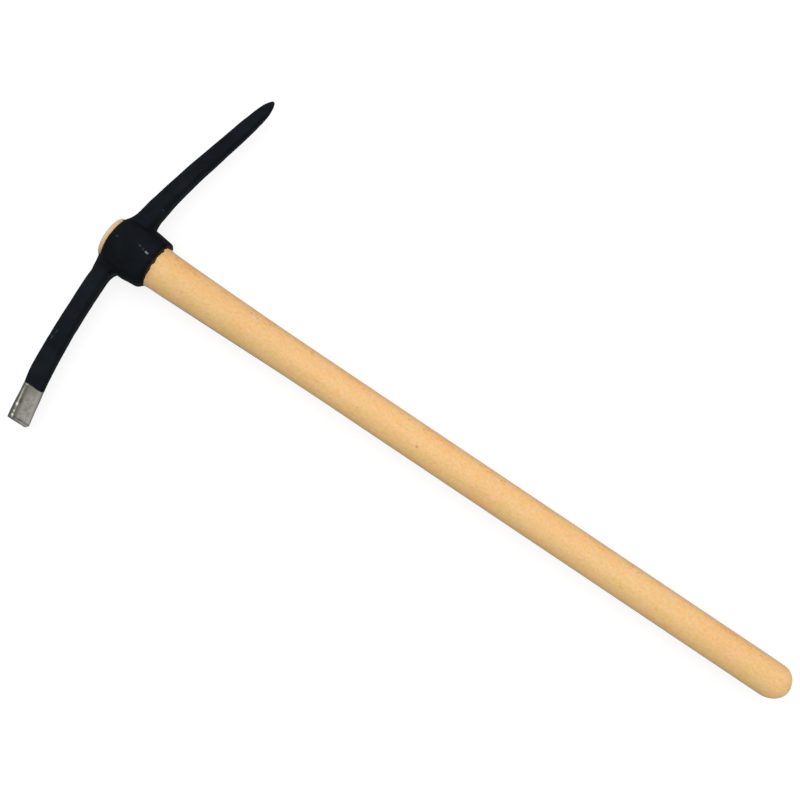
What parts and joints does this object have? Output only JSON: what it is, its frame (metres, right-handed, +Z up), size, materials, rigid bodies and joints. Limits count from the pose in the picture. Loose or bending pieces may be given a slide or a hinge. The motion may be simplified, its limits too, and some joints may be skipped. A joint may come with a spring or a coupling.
{
  "type": "pickaxe",
  "caption": "Pickaxe with a forged steel head, a tapered point on one side and a narrow chisel on the other, wedged on a round hardwood handle with a rounded butt.",
  "frame": {"origin": "below the middle of the tool as it lies on its side, on the floor plane that its eye touches", "axes": "+X along the handle from the head to the butt, +Y across it from the chisel to the point, +Z up"},
  "size_m": [0.9, 0.453, 0.064],
  "materials": {
    "head_paint": "matt black stoving paint over forging scale, with small chips",
    "head_steel": "bare ground steel at the chisel's end, dull and mottled",
    "handle_wood": "turned hardwood, pale yellow-tan, thin satin varnish, fine grain with short dark flecks",
    "wedge_wood": "sawn hardwood wedge, end grain",
    "wedge_steel": "plain steel wedge with hammer marks"
  },
  "bodies": {
    "root": {"pick_head": "head_paint", "handle": "handle_wood", "wood_wedge": "wedge_wood", "steel_wedge": "wedge_steel"}
  },
  "joints": []
}
